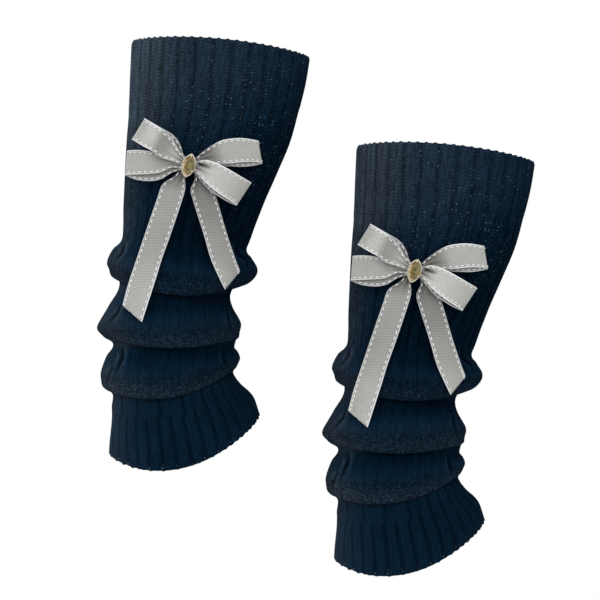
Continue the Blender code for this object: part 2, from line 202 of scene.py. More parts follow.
# The tails from the knot down: x and z of the left and right edges, how far the tail lies off the
# leg, and how far its edges curl forward
TAIL_LEFT = (
    (-26.0, -63.0, -21.4, -63.7, 2.2, 0.0),
    (-30.1, -70.0, -23.1, -70.7, 2.2, 0.3),
    (-38.8, -75.9, -22.8, -77.7, 2.3, 0.8),
    (-42.7, -86.1, -24.8, -86.1, 2.6, 0.5),
    (-51.4, -111.3, -33.2, -111.3, 2.8, 0.0),
    (-57.0, -128.1, -39.2, -128.1, 3.2, 0.0),
    (-62.6, -144.9, -44.4, -144.9, 3.4, 0.0),
    (-66.8, -160.3, -53.2, -172.2, 3.3, 0.0),
)
TAIL_RIGHT = (
    (-18.5, -63.0, -13.9, -63.0, 2.2, 0.0),
    (-16.1, -71.4, -8.4, -72.1, 2.2, 0.3),
    (-19.2, -79.4, -3.8, -80.5, 2.3, 0.8),
    (-17.8, -86.8, -1.0, -86.1, 2.5, 0.5),
    (-10.1, -111.3, 6.3, -111.3, 2.7, 0.0),
    (-5.2, -128.1, 11.9, -128.1, 3.0, 0.0),
    (0.3, -140.7, 14.4, -134.6, 3.1, 0.0),
    (4.6, -149.6, 14.9, -136.8, 3.1, 0.0),
)


def maths(operation, backwards=False):
    """A method of Value that puts in one maths node."""

    def put_in(value, *others):
        values = (value, *others)[:: -1 if backwards else 1]
        settings = {"operation": operation}
        return value.finish.add("ShaderNodeMath", settings, dict(enumerate(values)))

    return put_in


class Value:
    """A socket of a material, so that shader maths can be written as a sum: 1 - mask * 0.5."""

    def __init__(self, finish, socket):
        self.finish, self.socket = finish, socket

    __add__ = __radd__ = maths("ADD")
    __sub__, __rsub__ = maths("SUBTRACT"), maths("SUBTRACT", backwards=True)
    __mul__ = __rmul__ = maths("MULTIPLY")
    __pow__ = maths("POWER")
    __lt__ = maths("LESS_THAN")
    at_least = maths("MAXIMUM")
    size, fraction, whole, wave = map(maths, ("ABSOLUTE", "FRACT", "FLOOR", "SINE"))

    def ease(self, low, high):
        """0 below low and 1 above high, with a soft step between them."""
        settings = {"interpolation_type": "SMOOTHSTEP"}
        sockets = {"Value": self, "From Min": low, "From Max": high}
        return self.finish.add("ShaderNodeMapRange", settings, sockets)


class Finish:
    """One material, built up from nodes."""

    def __init__(self, name, **settings):
        self.material = bpy.data.materials.new(name)
        self.material.use_nodes = True
        self.tree = self.material.node_tree
        self.shader = self.tree.nodes["Principled BSDF"]
        for label, value in settings.items():
            self.shader.inputs[label.replace("_", " ")].default_value = value

    def add(self, kind, settings, sockets, output=0):
        node = self.tree.nodes.new(kind)
        for key, value in settings.items():
            setattr(node, key, value)
        for key, value in sockets.items():
            self.put(node.inputs[key], value)
        return Value(self, node.outputs[output])

    def put(self, socket, value):
        if isinstance(value, Value):
            self.tree.links.new(value.socket, socket)
        else:
            socket.default_value = value

    def feed(self, label, value):
        self.put(self.shader.inputs[label], value)

    def place(self):
        return self.add("ShaderNodeTexCoord", {}, {}, "Object")

    def uv(self, name):
        """The two numbers of a UV map."""
        node = self.add("ShaderNodeUVMap", {"uv_map": name}, {})
        parts = self.add("ShaderNodeSeparateXYZ", {}, {"Vector": node})
        outputs = parts.socket.node.outputs
        return Value(self, outputs[0]), Value(self, outputs[1])

    def drawn(self, name):
        """A number that the mesh keeps at each of its points."""
        return self.add("ShaderNodeAttribute", {"attribute_name": name}, {}, "Fac")

    def point(self, x, y, z=0.0):
        return self.add("ShaderNodeCombineXYZ", {}, {0: x, 1: y, 2: z})

    def noise(self, where, scale, detail=2.0):
        sockets = {"Vector": where, "Scale": scale, "Detail": detail}
        return self.add("ShaderNodeTexNoise", {}, sockets)

    def chance(self, where):
        """A different number from 0 to 1 for each whole place."""
        return self.add("ShaderNodeTexWhiteNoise", {}, {"Vector": where}, "Value")

    def mix(self, share, first, second):
        return self.add("ShaderNodeMix", {"data_type": "RGBA"}, {0: share, 6: first, 7: second}, 2)

    def raise_by(self, height, distance):
        """Bumps of a height, in metres, on the surface."""
        bump = self.add("ShaderNodeBump", {}, {"Height": height, "Distance": distance}, "Normal")
        self.feed("Normal", bump)


def rgb(red, green, blue):
    return (red, green, blue, 1.0)


def arches(phase):
    """Rounded rows, one for each whole step of a phase."""
    return 1 - (phase.fraction() * 2 - 1) ** 2


def knitted_wool():
    """Navy yarn. The stitches map counts ribs across and rows of stitches down."""
    knit = Finish(
        "navy_knit",
        Roughness=0.95,
        Sheen_Weight=0.02,
        Sheen_Roughness=0.35,
        Sheen_Tint=rgb(0.35, 0.60, 0.90),
        Specular_IOR_Level=0.0,
    )
    rib, row = knit.uv("stitches")
    place = knit.place()
    wander = knit.noise(knit.point(rib * 1.3, row * 0.22), 1.0) - 0.5
    fuzz = knit.noise(place, 1100.0, 3.0)
    cloud = knit.noise(place, 34.0, 2.0)
    streaks = knit.noise(knit.point(rib * 6.5, row * 0.20), 1.0, 1.0)
    half = rib * 2 + wander * 0.14
    across = (half.fraction() - 0.5).size() * 2
    offset = knit.chance(knit.point(half.whole(), 3.0))
    stitch = arches(row + offset + across * 0.50 + wander * 0.9) * (1 - across**4 * 0.75)
    purl = knit.drawn("purl")
    third = ((rib * 3).fraction() - 0.5).size() * 2
    curl = knit.noise(place, 490.0, 1.0)
    worms = 1 - (curl - 0.5).size().ease(0.01, 0.11)
    curls = arches(row * 1.05 + third * 0.5 + curl * 2.0)
    loops = (0.25 + 0.75 * worms) * (0.45 + 0.55 * curls)
    stitch = stitch * (1 - purl) + loops * purl
    fine = (1 - 0.6 * knit.drawn("smooth")).at_least(purl * 1.5)
    knit.raise_by(stitch * fine * 0.45 + fuzz * 0.5 + streaks * 0.5, 0.0010)

    # Painted light and shade: the tone and pale marks lighten the yarn where light falls, and the
    # dark mark darkens it in grooves and creases
    tone = knit.drawn("tone")
    pale = knit.drawn("pale")
    # Darker between the stitches' arches and between the purl loops: painted shade in their gaps
    contrast = 0.20 * fine + 0.57 * purl
    depth = 1.04 - contrast + contrast * stitch
    depth = depth * (0.10 + 1.80 * fuzz) * (0.74 + 0.52 * cloud)
    depth = depth * (1 + (streaks - 0.5) * (1.5 - 1.1 * knit.drawn("smooth")))
    depth = depth * (1 - 0.75 * knit.drawn("dark")) * (1 + 3.6 * pale) * tone
    # Where painted light lifts the yarn it also turns greyer, as a painted sheen
    lightness = (tone * (1 + 2.5 * pale)).ease(0.25, 1.40)
    navy = knit.mix(lightness, rgb(0.0048, 0.0245, 0.0545), rgb(0.0235, 0.0340, 0.0475))
    colour = knit.mix(depth, rgb(0.0, 0.0, 0.0), navy)
    colour.socket.node.clamp_factor = False

    # Pale dots painted as glints, where light catches the stretched stitches
    column, level = rib * 4 + 0.5, row * 1.2
    cell = (column.whole(), level.whole())
    first = knit.chance(knit.point(*cell))
    second = knit.chance(knit.point(*cell, 7.0))
    beside = (column.fraction() - 0.5 + (second - 0.5) * 0.5) * 3.05
    below = (level.fraction() - 0.5 + ((first * 37.0).fraction() - 0.5) * 0.6) * 1.75
    spot = 1 - ((beside**2 + below**2) ** 0.5).ease(0.20, 0.75)
    grouped = knit.noise(place, 55.0, 1.0).ease(0.42, 0.62)
    run = knit.noise(knit.point(cell[0] * 3.7, row * 0.10), 1.0, 0.0).ease(0.50, 0.64)
    beside_rib = 1 - (rib.fraction() - 0.5).size().ease(0.08, 0.24)
    share = knit.drawn("painted_glints") * (0.14 + 0.60 * grouped + 0.80 * run) * (0.3 + 0.7 * beside_rib)
    lit = (first < share) * spot * (0.14 + 0.86 * second**3)
    # A near-black dot just off each glint: painted shade in the gap between stitches
    gap_shade = 1 - ((beside**2 + (below + 1.0) ** 2) ** 0.5).ease(0.30, 0.95)
    colour = knit.mix((first < share * 1.5) * gap_shade * 0.75, colour, rgb(0.0008, 0.0020, 0.0045))
    knit.feed("Base Color", knit.mix(lit, colour, rgb(0.085, 0.122, 0.158)))
    return knit.material


def grosgrain():
    """Grey ribbon with fine ribs across it and a plainer woven edge.

    The weave map counts millimetres along it, and shares across it from its middle.
    """
    ribbon = Finish("grey_ribbon", Roughness=0.62, Sheen_Weight=0.05, Specular_IOR_Level=0.12)
    along, across = ribbon.uv("weave")
    place = ribbon.place()
    edge = across.size().ease(SELVEDGE_FROM, 0.93)
    seam = across.size().ease(0.78, 0.84) * (1 - across.size().ease(0.84, 0.90))
    cords = (along * (2 * pi / 1.15)).wave() * 0.5 + 0.5
    threads = (across * 92.0).wave() * 0.5 + 0.5
    height = cords * (1 - edge * 0.8) + threads * 0.18 + edge * 0.9 - seam * 0.5
    ribbon.raise_by(height, 0.00026)
    worn = ribbon.noise(place, 60.0, 3.0)
    fine = ribbon.noise(place, 2400.0, 2.0)
    woven = (1 - edge) * ribbon.noise(place, 110.0, 1.0).ease(0.35, 0.65)
    shade = (0.90 + (cords - 0.5) * (0.16 + 0.34 * woven)) * (0.86 + 0.20 * worn)
    shade = shade * (0.80 + 0.36 * fine) * ribbon.drawn("light") * (1 - 0.12 * seam)
    grey = ribbon.mix(edge, rgb(0.532, 0.532, 0.507), rgb(0.820, 0.828, 0.835))
    colour = ribbon.mix(shade, rgb(0.0, 0.0, 0.0), grey)
    ribbon.feed("Base Color", colour)
    return ribbon.material


def white_thread():
    thread = Finish("white_thread", Roughness=0.55, Sheen_Weight=0.1)
    fine = thread.noise(thread.place(), 3000.0, 2.0)
    thread.feed("Base Color", thread.mix(fine, rgb(0.74, 0.74, 0.73), rgb(0.93, 0.93, 0.92)))
    thread.raise_by(fine, 0.0001)
    return thread.material


def pale_gold():
    gold = Finish("pale_gold", Metallic=1.0)
    place = gold.place()
    worn = gold.noise(place, 420.0, 3.0)
    fine = gold.noise(place, 2600.0, 2.0)
    gold.feed("Base Color", gold.mix(worn, rgb(0.60, 0.52, 0.38), rgb(0.80, 0.73, 0.60)))
    gold.feed("Roughness", 0.38 + worn * 0.20)
    gold.raise_by(fine, 0.00006)
    return gold.material


def facing(finish, faces, way):
    """How far a surface faces a way, 1 being straight at it."""
    settings = {"operation": "DOT_PRODUCT"}
    return finish.add("ShaderNodeVectorMath", settings, {0: faces, 1: way}, "Value")


def champagne_stone():
    """Foil-backed stone: each facet takes a tone from the way it faces, as painted reflections."""
    coat = {"Coat_Weight": 0.3, "Coat_Roughness": 0.03}
    stone = Finish("champagne_stone", Roughness=0.12, IOR=1.5, **coat)
    faces = stone.add("ShaderNodeNewGeometry", {}, {}, "True Normal")
    side = facing(stone, faces, (-1.0, 0.0, 0.0))
    low = facing(stone, faces, (0.45, 0.0, -0.90)).ease(0.40, 0.50)
    place = stone.place()
    glow = stone.noise(place, 420.0, 2.0)
    foil = stone.mix(glow.ease(0.35, 0.65), rgb(0.078, 0.061, 0.017), rgb(0.208, 0.176, 0.069))
    foil = stone.mix(stone.drawn("to_left").ease(-0.10, 0.35), foil, rgb(0.150, 0.092, 0.020))
    # Facets facing left turn amber, and those facing far left or down to the right turn cream:
    # painted reflections of the foil
    amber_glint = stone.mix(side.ease(0.20, 0.30), foil, rgb(0.190, 0.118, 0.032))
    cream_glint = stone.mix(glow.ease(0.35, 0.65), rgb(0.44, 0.34, 0.19), rgb(0.66, 0.56, 0.36))
    pale = stone.mix(side.ease(0.60, 0.68).at_least(low), amber_glint, cream_glint)
    stone.feed("Base Color", pale)
    return stone.material


def pale_floor():
    floor = Finish("pale_floor", Roughness=0.8)
    grain = floor.noise(floor.place(), 90.0, 3.0)
    floor.feed("Base Color", floor.mix(grain, rgb(0.84, 0.84, 0.84), rgb(0.88, 0.88, 0.88)))
    return floor.material


def soft(x):
    """A soft step from 0 to 1."""
    x = np.clip(x, 0.0, 1.0)
    return x * x * (3 - 2 * x)


def hill(x, width):
    """1 at 0, falling softly on both sides."""
    return np.exp(-((x / width) ** 2))


def at_rows(along, rows, width):
    """1 at each of some rows, falling softly on both sides."""
    return np.max([hill(along - row, width) for row in rows], axis=0)


def unit(vectors):
    return vectors / np.maximum(np.linalg.norm(vectors, axis=-1, keepdims=True), 1e-9)


def rows_at(table, along, closed=False):
    """A smooth curve through a table's rows, at many places along it."""
    last = len(table) - 1
    i = np.floor(along).astype(int)
    i = i if closed else np.clip(i, 0, last - 1)
    share = (along - i).reshape(-1, *[1] * (table.ndim - 1))
    picks = [i - 1, i, i + 1, i + 2]
    picks = [k % len(table) for k in picks] if closed else [np.clip(k, 0, last) for k in picks]
    before, start, end, after = (table[k] for k in picks)
    b = end - before
    c = 2 * before - 5 * start + 4 * end - after
    d = 3 * start - before - 3 * end + after
    return 0.5 * (2 * start + b * share + c * share**2 + d * share**3)


def plain_surface(along, angle):
    """Points of the smooth cuff, a row for each place along it and a column for each angle."""
    rows = rows_at(SECTIONS, along).T[:, :, None]
    left, right, front, back, z_left, z_front, z_right, z_back = rows
    sine, cosine = np.sin(angle)[None, :], np.cos(angle)[None, :]
    x = (left + right) / 2 + (right - left) / 2 * sine
    y = -np.where(cosine > 0, front, back) * cosine
    z = (z_left + z_right + z_front + z_back) / 4
    z = z + (z_right - z_left) / 2 * sine + (z_front - z_back) / 2 * cosine
    z = z + (z_front + z_back - z_left - z_right) / 4 * np.cos(2 * angle)[None, :]
    return np.stack((x, y, z), axis=-1)


def outward(along, angle):
    """The ways down along the smooth cuff and out of it."""
    step = 0.01
    top, low = np.maximum(along - step, 0.0), np.minimum(along + step, HEM_END)
    down = unit(plain_surface(low, angle) - plain_surface(top, angle))
    turn = unit(plain_surface(along, angle + step) - plain_surface(along, angle - step))
    return down, unit(np.cross(down, turn))


def distance_down(places):
    """Length of the knitting from the rim to each place, averaged round the cuff."""
    fine = np.linspace(0, HEM_END, 40 * HEM_END + 1)
    points = plain_surface(fine, np.linspace(0, 2 * pi, 24, endpoint=False))
    steps = np.linalg.norm(np.diff(points, axis=0), axis=-1).mean(axis=1)
    lengths = np.concatenate(([0.0], np.cumsum(steps)))
    return np.interp(places, fine, lengths), fine, lengths


def even_places(first, last, spacing):
    """Places from one row to another, evenly far apart on the knitting, closer at each tuck."""
    (start, end), fine, lengths = distance_down(np.array([first, last], float))
    count = max(int(round((end - start) / spacing)), 2)
    even = np.interp(np.linspace(start, end, count + 1), lengths, fine)
    tucks = [tuck + step for tuck in TUCKS for step in TUCK_ROWS]
    extra = [place for place in tucks if first < place < last]
    return np.sort(np.concatenate((even, extra)))


def crease_gaps(points):
    """For each crease, how far each point of a grid is from it and how deep it is there."""
    found = []
    for lines, side in ((FRONT_CREASES, -1), (BACK_CREASES, 1)):
        facing_us = points[points[..., 1] * side > 0]
        for line in lines:
            seen = rows_at(np.array(line), np.linspace(0, len(line) - 1, 30))
            nearest = [((facing_us[:, (0, 2)] - spot) ** 2).sum(axis=1).argmin() for spot in seen]
            gaps = np.linalg.norm(points[..., None, :] - facing_us[nearest], axis=-1)
            share = gaps.argmin(axis=-1) / (len(seen) - 1)
            depth = soft(share * 4) * soft((1 - share) * 1.8) * (1.0 if side < 0 else BACK_FAINTER)
            found.append((gaps.min(axis=-1), depth))
    return found


def near(gaps, width):
    """How near each point is to the closest crease."""
    return np.max([hill(gap, width) * depth for gap, depth in gaps], axis=0) if gaps else 0.0


def fold_zone(along, before, after):
    """1 from a share of the way above each fold's lip to a share below it."""
    zones = [soft((along - lip + before) * 3) * soft((lip + after - along) * 4) for lip in LIPS]
    return np.max(zones, axis=0)


def purl_zone(along):
    """1 where the purl side of the stitches shows, on the lower half of each fold."""
    zones = [soft((along - lip + 1.75) / 0.9) * soft((lip + 0.30 - along) * 4) for lip in LIPS]
    return np.max(zones, axis=0)


def from_crown(rib):
    """0 on a rib's crown and 1 in the grooves beside it."""
    return 2 * np.abs(rib - np.rint(rib))


def top_relief(along, rib, down):
    """How far the top rib stands out, with a thin edge at the rim."""
    across = from_crown(rib)
    ribbing = TOP_RIB_HIGH * (1 - soft((across - 0.35) / 0.65)) - 0.22 * hill(across, 0.14)
    return ribbing - 0.9 * hill(down, 1.1)


def leg_relief(along, rib, down):
    """How far the leg's ribs and cables stand out, fading in the folds and at the leg's end."""
    nearest = np.rint(rib)
    side = 2 * (rib - nearest)
    across = np.abs(side)
    plain = LEG_RIB_HIGH * (1 - soft((across - 0.35) / 0.65)) - 0.15 * hill(across, 0.14)
    rope = np.abs(np.sin(pi * (down / CABLE_TWIST + 0.42 * side))) ** 0.7
    cable = CABLE_HIGH * (1 - soft((across - 0.45) / 0.55)) * (0.50 + 0.50 * rope)
    leg = np.where(nearest % 3 == 0, cable, plain)
    begin = soft((along - RIB_END) / 0.25)
    leg = leg * (1 - 0.75 * fold_zone(along, 0.75, 0.45)) * (1 - 0.5 * soft((along - NECK) / 0.6))
    relief = top_relief(along, rib, down) * (1 - begin) + leg * begin
    return relief * np.minimum(1.0, np.abs(along - LEG_END))


def hem_groove(along, rib):
    """How deep the groove is: at the front, close under the leg, every second one steps aside."""
    gathered = soft((rib + 8) / 2) * (1 - soft((rib - 0.5) / 1.5))
    split = 1 - (1 - soft((along - JOG - 0.05 * np.sin(2.1 * rib) + 0.15) / 0.30)) * gathered
    moved = rib - 0.30 * (1 - split) - 0.20 * np.clip(along - JOG, -1, 0) * gathered
    across = from_crown(moved)
    every_second = np.floor(moved + 1000.0) % 2
    return soft((across - 0.44) / 0.56) * np.where(every_second == 0, 1.0, split)


def hem_relief(along, rib, down):
    """How far the hem's ribs stand out, with a low ridge where the grooves step aside."""
    relief = HEM_RIB_HIGH - HEM_GROOVE_DEEP * hem_groove(along, rib)
    relief = relief + 0.30 * hill(along - JOG, 0.06) * hill(rib + 0.5, 1.5)
    return relief * np.minimum(1.0, np.abs(along - LEG_END) * 1.5)


def tube_shape(first, last, ribs, turn, relief, spacing):
    """Points, stitch counts and shading of a knitted tube, down its outside and up its inside."""
    columns = ribs * AROUND_RIB
    count = np.arange(columns + 1) - columns // 2
    rib = count[None, :] / AROUND_RIB
    angle = turn + 2 * pi * count / columns
    outer = even_places(first, last, spacing)
    inner = even_places(first, last, spacing * INNER_COARSER)[::-1]
    inner = inner[np.abs(inner[:, None] - np.array(LIPS)).min(axis=1) > LIP_ROUNDED]
    down_outer, down_inner = (distance_down(places)[0][:, None] for places in (outer, inner))
    creased = relief is leg_relief
    along, plain = outer[:, None], plain_surface(outer, angle)
    gaps = crease_gaps(plain) if creased else []
    down, out = outward(outer, angle)
    sides = 1 - 0.7 * np.sin(angle) ** 6 * slouched(along)
    rise = relief(along, rib, down_outer) * sides - SUNK + slack(along, angle, down_outer, gaps)
    rise = rise - np.minimum(rise, 0) * at_lips(along)
    outside = plain + out * rise[..., None]
    outside = outside + down * scallops(first, last, down_outer, rib)[..., None]
    inside = inner_wall(inner, angle, down_inner, creased)
    points = np.concatenate((outside, inside, outside[:1]))
    points[:, -1] = points[:, 0]  # they meet behind the leg, where the tube closes
    rows = np.concatenate((down_outer, down_inner, down_outer[:1])) / COURSE
    stitches = np.stack(np.broadcast_arrays(rib, rows), axis=-1)
    shading = tube_shading(along, rib, angle, plain, gaps, last)
    lining = {"tone": 0.5, "smooth": 0.5}
    for key, value in shading.items():
        outer_part = np.broadcast_to(value, rise.shape)
        inner_part = np.full(inside.shape[:2], lining.get(key, 0.0))
        shading[key] = np.concatenate((outer_part, inner_part, outer_part[:1]))
    return points, stitches, shading


def inner_wall(along, angle, down, creased):
    """Points on the inside of a tube, which follows the slack and creases of the outside."""
    plain = plain_surface(along, angle)
    gaps = crease_gaps(plain) if creased else []
    out = outward(along, angle)[1]
    along = along[:, None]
    swell = slack(along, angle, down, gaps) - 0.5 * pinch(along)
    swell = swell - np.minimum(swell, 0) * at_lips(along) - WALL * (1 - 0.6 * at_lips(along))
    return plain + out * swell[..., None]


def tube_shading(along, rib, angle, plain, gaps, last):
    """What the knit's material reads at each point of a tube's outside."""
    to_right = np.sin(angle)
    # Painted highlights on the knitting that rolls out beside each crease
    roll_highlights = 0.3 * near([(gap - 3.6, deep) for gap, deep in gaps], 1.8)
    # The dark, pale and tone marks are painted shade and light, and the glints painted highlights
    return {
        "dark": painted_shade_places(along, rib, near(gaps, 1.9) * slouched(along)),
        "pale": painted_light_places(along, to_right) + roll_highlights,
        "purl": purl_zone(along),
        "painted_glints": painted_glint_places(along, from_crown(rib), plain, last),
        "tone": painted_light_tone(along, plain, to_right),
        "smooth": soft((along - NECK) / 1.0) * 0.5 + 0.2 * soft((along - LEG_END) * 4),
    }


def scallops(first, last, down, rib):
    """How far the rim and the hem's edge wave: two waves to a rib, uneven ones at the hem."""
    waves = np.cos(4 * pi * rib)
    if first == 0:
        return 0.70 * hill(down - down[0], 1.5) * waves
    if last == HEM_END:
        return 0.50 * hill(down - down[-1], 1.5) * (waves + 0.5 * np.sin(76 * pi * rib / HEM_RIBS))
    return 0 * down * rib


def slouched(along):
    """1 where the leg lies in folds."""
    return soft((along - NECK + 0.3) / 0.6) * np.minimum(1.0, np.abs(along - LEG_END))


def at_lips(along):
    """1 at each fold's lip, where the wall turns sharply, is thinner and isn't drawn in."""
    return at_rows(along, LIPS, 0.4)


def slack(along, angle, down, gaps):
    """How far the slack knitting swells, and is drawn in at creases and above the folds."""
    waves = 1.1 * np.sin(3 * angle + down / 9.0) * np.sin(angle * 2 + down / 21.0)
    waves = waves * (1 - at_rows(along, TUCKS, 0.5))
    lobes = CREASE_SWELL * near(gaps, 5.0) - CREASE_DEEP * near(gaps, CREASE_WIDTH)
    return (waves + lobes - pinch(along)) * slouched(along)


def pinch(along):
    """How far the knitting is drawn in above each fold."""
    return sum(0.9 * hill(along - row - 0.4, 0.45) for row in (NECK, TUCKS[0], TUCKS[1]))


def painted_shade_places(along, rib, creased):
    """Painted shade: darkest in the grooves and the creases."""
    across = from_crown(rib)
    groove = 0.55 * soft((across - 0.55) / 0.45) * (1 - 0.65 * soft((along - NECK) / 0.6))
    groove = groove * (1 - 0.6 * fold_zone(along, 0.9, 0.2))
    hem = 0.55 * hem_groove(along, rib) ** 1.5
    return np.clip(np.where(along > LEG_END, hem, groove) + 1.2 * creased, 0, 1)


def painted_light_places(along, to_right):
    """Painted light: more and more down each fold but less on its left side, and close under its
    lip, lifting the shade there.
    """
    folds = sum(
        share * soft((along - lip + 2.2) / 2.0) * soft((lip + 0.9 - along) * 3)
        for lip, share in zip(LIPS, (0.62, 0.84, 0.92))
    )
    folds = folds * (1 - 0.7 * np.clip(-to_right, 0, 1) ** 2)
    tucked = sum(
        hill(along - tuck - 0.10, 0.26) * share for tuck, share in zip(TUCKS, (0.8, 0.8, 0.3))
    )
    return folds + tucked * (1 - to_right**2)


def painted_light_tone(along, plain, to_right):
    """How light the yarn is painted: lighter higher up the calf, on the hem and on its left side as
    painted light, darker on its right side and at the top of the lowest fold as painted shade.
    """
    height = plain[..., 2]
    hem = soft((along - LEG_END) * 3)
    # Painted light: lighter higher up the calf and on the hem
    stretched = 0.28 + 0.60 * soft((height + 95) / 100) + 0.13 * hem
    left = 0.75 + 0.60 * soft((height + 85) / 70) - 0.10 * hem
    left = left + 0.28 * hill(height + 95, 18)
    left = left - 0.06 * sum(hill(along - row, 1.1) for row in CRESTS)
    right = 0.30 * np.clip(to_right, 0, 1) * soft((height + 95) / 60)
    tone = stretched + left * np.clip(-to_right, 0, 1) ** 3 - right
    return tone * (1 - 0.17 * hill(height + 204, 13))


def painted_glint_places(along, across, plain, last):
    """Where painted glints show: in the stretched stitches, and in the grooves at the hem's edge.
    """
    if last == HEM_END:
        return 9.0 * hill(along - HEM_END + 0.16, 0.06) * soft((across - 0.5) / 0.3)
    calf = soft((plain[..., 2] + 100) / 25) * (0.35 + 0.65 * hill(plain[..., 2] + 50, 40))
    calf = calf * (0.45 + 0.55 * soft((plain[..., 0] + 45) / 30))
    return calf * (0.4 + 0.6 * soft((10 - plain[..., 1]) / 30))


def bent_grid(name, points, uv_name, uvs, shading, material, shut=False):
    """A flat grid bent to a grid of points and sewn up where its edges meet."""
    rows, columns = points.shape[0] - 1, points.shape[1] - 1
    shape = bmesh.new()
    bmesh.ops.create_grid(shape, x_segments=columns, y_segments=rows, size=1.0)
    mesh = bpy.data.meshes.new(name)
    shape.to_mesh(mesh)
    flat = np.empty(len(mesh.vertices) * 3)
    mesh.vertices.foreach_get("co", flat)
    spots = np.rint((flat.reshape(-1, 3)[:, :2] + 1) / 2 * (columns, rows)).astype(int)
    column, row = spots.T
    mesh.vertices.foreach_set("co", (points[row, column] * MM).ravel())
    for key, values in shading.items():
        layer = mesh.attributes.new(key, "FLOAT", "POINT")
        layer.data.foreach_set("value", values[row, column])
    corners = np.empty(len(mesh.loops), dtype=int)
    mesh.loops.foreach_get("vertex_index", corners)
    chart = mesh.uv_layers.new(name=uv_name)
    chart.data.foreach_set("uv", uvs[row[corners], column[corners]].ravel())
    shape.clear()
    shape.from_mesh(mesh)
    rim = [v for v in shape.verts if v.is_boundary]
    bmesh.ops.remove_doubles(shape, verts=rim, dist=1e-6)
    if shut:
        bmesh.ops.holes_fill(shape, edges=[e for e in shape.edges if e.is_boundary], sides=0)
    bmesh.ops.recalc_face_normals(shape, faces=shape.faces[:])
    if shape.calc_volume(signed=True) < 0:
        bmesh.ops.reverse_faces(shape, faces=shape.faces[:])
    return finished(name, shape, material, mesh)


def placed(name, data):
    """A new object in the scene."""
    item = bpy.data.objects.new(name, data)
    bpy.context.scene.collection.objects.link(item)
    return item


def finished(name, shape, material, mesh=None, smooth=True):
    """The object that a shape becomes."""
    mesh = mesh or bpy.data.meshes.new(name)
    for face in shape.faces:
        face.smooth = smooth
    shape.to_mesh(mesh)
    shape.free()
    mesh.materials.append(material)
    return placed(name, mesh)


def skin_at(z):
    return [np.interp(z, SKIN[:, 0], column) for column in SKIN.T[1:]]


def skin_y(x, z, hug):
    """Where the surface under the bow lies. A hug of 1 follows the leg all the way round."""
    middle, half, front = skin_at(z)
    return -front * np.sqrt(np.maximum(1 - (hug * (x - middle) / half) ** 2, 0.0))


def row_across(first, second, off, curl, hug=None):
    """Three points across a ribbon off the leg, its two edges curled forward."""
    row = []
    for (x, z), curled in ((first, curl), ((first + second) / 2, 0.0), (second, curl)):
        bend = hug or (HUG_LEFT if x < skin_at(z)[0] else HUG_RIGHT)
        row.append((x, skin_y(x, z, bend) - off - curled, z))
    return row


def loop_rows(stations, front):
    """Rows of three points across one layer of a loop, from the knot to its end."""
    rows = []
    for *edges, off, puff, splay, curl in stations:
        upper, lower = np.array(edges[:2]), np.array(edges[2:])
        if front:
            off = off + puff
        else:
            curl, shift = curl / 2, unit(lower - upper) * splay
            upper, lower = upper + shift, lower + shift
        rows.append(row_across(upper, lower, off, curl))
    return np.array(rows)


def turn_row(front, back):
    """The row where the ribbon turns back on itself at a loop's end, which it draws in a little."""
    away = unit(front[-1][1] - front[-2][1])
    front[-1] -= away * LOOP_SHORTER
    back[-1] -= away * LOOP_SHORTER
    gap = np.linalg.norm(front[-1] - back[-1], axis=-1, keepdims=True)
    return (front[-1] + back[-1]) / 2 + away * gap * LOOP_BULGE


def band_rows(left, right):
    """Rows of three points across a closed band, over its front and back behind."""
    left_front, left_back = loop_rows(left, True), loop_rows(left, False)
    right_front, right_back = loop_rows(right, True), loop_rows(right, False)
    left_turn, right_turn = turn_row(left_front, left_back), turn_row(right_front, right_back)
    parts = (left_front[::-1], right_front, [right_turn], right_back[::-1], left_back, [left_turn])
    return np.concatenate(parts)


def tail_rows(stations):
    """Rows of three points across a tail, from the knot down."""
    return np.array([
        row_across(np.array(edges[:2]), np.array(edges[2:]), off, curl, hug=1.0)
        for *edges, off, curl in stations
    ])


def from_knot(points):
    """How far each point lies from the knot, seen from the front."""
    return np.linalg.norm(points[..., (0, 2)] - np.array(KNOT), axis=-1)


def pleats(across):
    """Waves across a ribbon where it is gathered: 1 on a pleat and -1 between pleats."""
    return np.cos(2.6 * pi * across + 0.6)[None, :]


def painted_crease_shade(points):
    """Painted shade along the bow's deepest crease at each point, fading to its far end."""
    start, end = np.array(BOW_CREASE)
    way, flat = end - start, points[..., (0, 2)] - start
    share = np.clip(flat @ way / (way @ way), 0, 1)
    gap = np.linalg.norm(flat - share[..., None] * way, axis=-1)
    return hill(gap, 1.3) * (1 - 0.5 * share**3)


